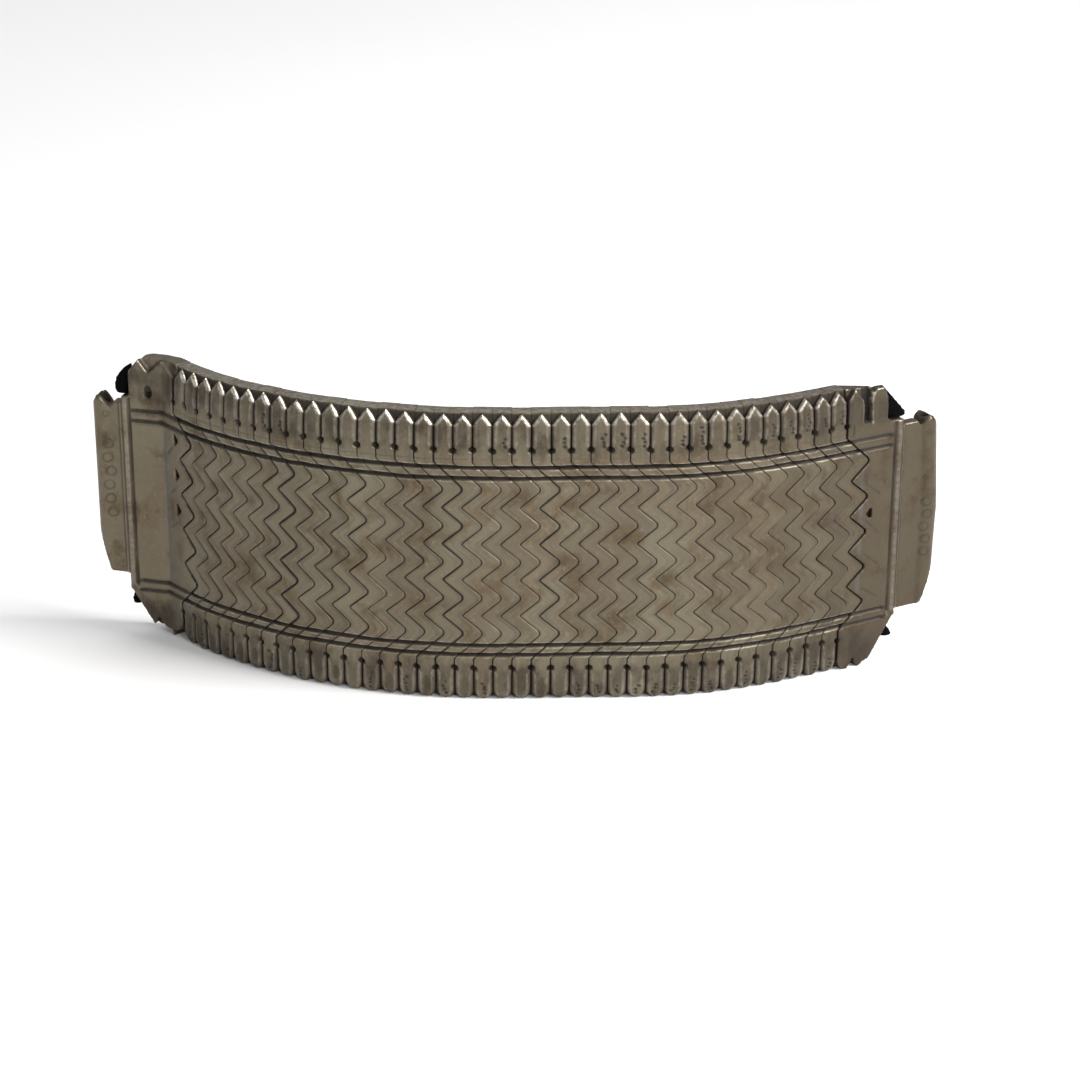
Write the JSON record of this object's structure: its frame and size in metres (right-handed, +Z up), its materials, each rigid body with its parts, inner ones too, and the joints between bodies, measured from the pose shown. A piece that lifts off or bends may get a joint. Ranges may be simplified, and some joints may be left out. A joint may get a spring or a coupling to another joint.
{
  "type": "flexible silver armlet",
  "caption": "Antique flexible silver armlet of slim zigzag links with pointed upper tips and rounded feet, strung on black thread between two soldered end pieces with rolled cord tubes.",
  "frame": {"origin": "centre of the bounding box at floor level", "axes": "+X along the band from its left end to its right end in the picture, +Y from the convex face towards the arm, +Z up, along the arm the band wraps"},
  "size_m": [0.1084, 0.0222, 0.038],
  "materials": {
    "silver": "aged silver, dark in the grooves, worn bright on the edges",
    "thread": "matt black cotton"
  },
  "bodies": {
    "root": {"link_01": "silver", "link_02": "silver", "link_03": "silver", "link_04": "silver", "link_05": "silver", "link_06": "silver", "link_07": "silver", "link_08": "silver", "link_09": "silver", "link_10": "silver", "link_11": "silver", "link_12": "silver", "link_13": "silver", "link_14": "silver", "link_15": "silver", "link_16": "silver", "link_17": "silver", "link_18": "silver", "link_19": "silver", "link_20": "silver", "link_21": "silver", "link_22": "silver", "link_23": "silver", "link_24": "silver", "link_25": "silver", "link_26": "silver", "link_27": "silver", "link_28": "silver", "link_29": "silver", "link_30": "silver", "link_31": "silver", "link_32": "silver", "link_33": "silver", "link_34": "silver", "link_35": "silver", "link_36": "silver", "link_37": "silver", "link_38": "silver", "terminal_left": "silver", "terminal_right": "silver", "thread_upper": "thread", "thread_lower": "thread"}
  },
  "joints": []
}
